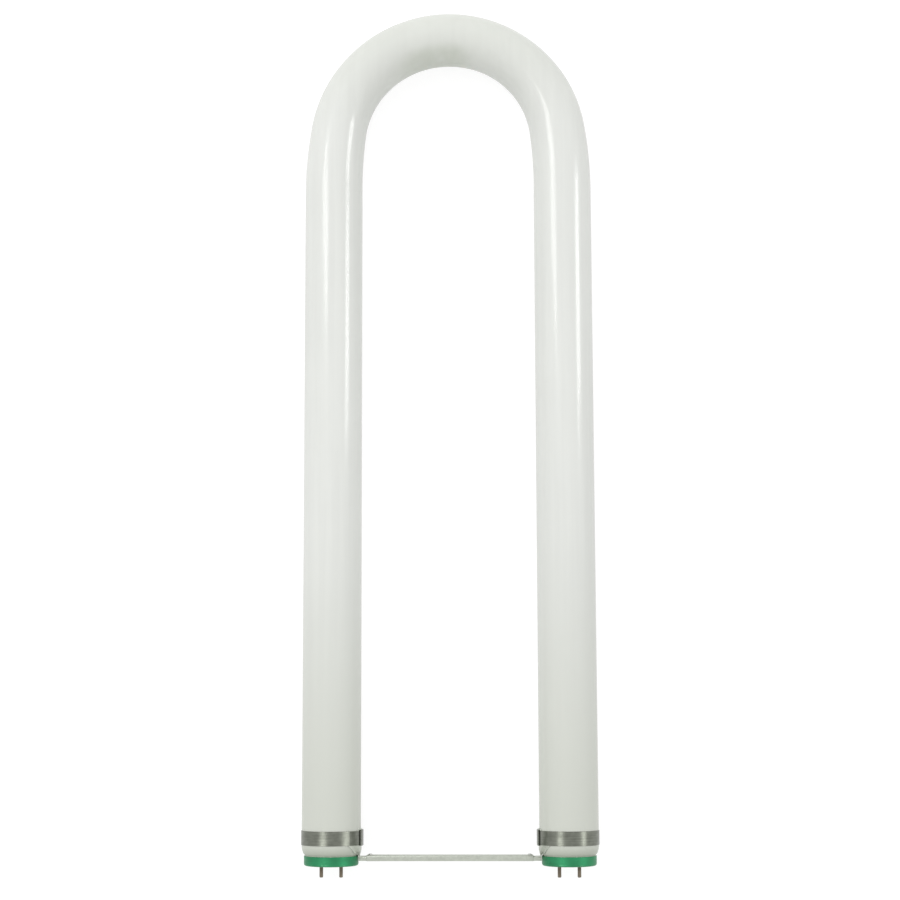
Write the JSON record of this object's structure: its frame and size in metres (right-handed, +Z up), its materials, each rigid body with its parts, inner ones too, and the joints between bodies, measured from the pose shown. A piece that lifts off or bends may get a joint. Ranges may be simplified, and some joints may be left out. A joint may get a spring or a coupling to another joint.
{
  "type": "u shaped fluorescent bulb",
  "caption": "U shaped fluorescent bulb of white coated glass, with green end caps, brass contact pins, steel straps and a riveted crossbar between the legs.",
  "frame": {"origin": "bottom centre of the box round the whole bulb as it lies flat", "axes": "+Z up, the legs along Y with the bend at +Y and the pins at -Y, X across the two legs"},
  "size_m": [0.191, 0.5715, 0.0387],
  "materials": {
    "coated_glass": "smooth glass over a white coating",
    "green_cap": "satin green lacquer on aluminium",
    "disc": "moulded fibre board",
    "pin_brass": "dull, tarnished",
    "wire": "drawn wire",
    "strap_steel": "brushed",
    "bar_steel": "dull zinc",
    "rivet_metal": "satin"
  },
  "bodies": {
    "root": {"glass_bulb": "coated_glass", "crossbar": "bar_steel", "left_cap_shell": "green_cap", "left_insulator_disc": "disc", "left_outer_pin": "pin_brass", "left_inner_pin": "pin_brass", "left_outer_lead_wire": "wire", "left_inner_lead_wire": "wire", "left_strap": "strap_steel", "left_strap_seal": "strap_steel", "left_saddle": "bar_steel", "left_rivet": "rivet_metal", "right_cap_shell": "green_cap", "right_insulator_disc": "disc", "right_outer_pin": "pin_brass", "right_inner_pin": "pin_brass", "right_outer_lead_wire": "wire", "right_inner_lead_wire": "wire", "right_strap": "strap_steel", "right_strap_seal": "strap_steel", "right_saddle": "bar_steel", "right_rivet": "rivet_metal"}
  },
  "joints": []
}
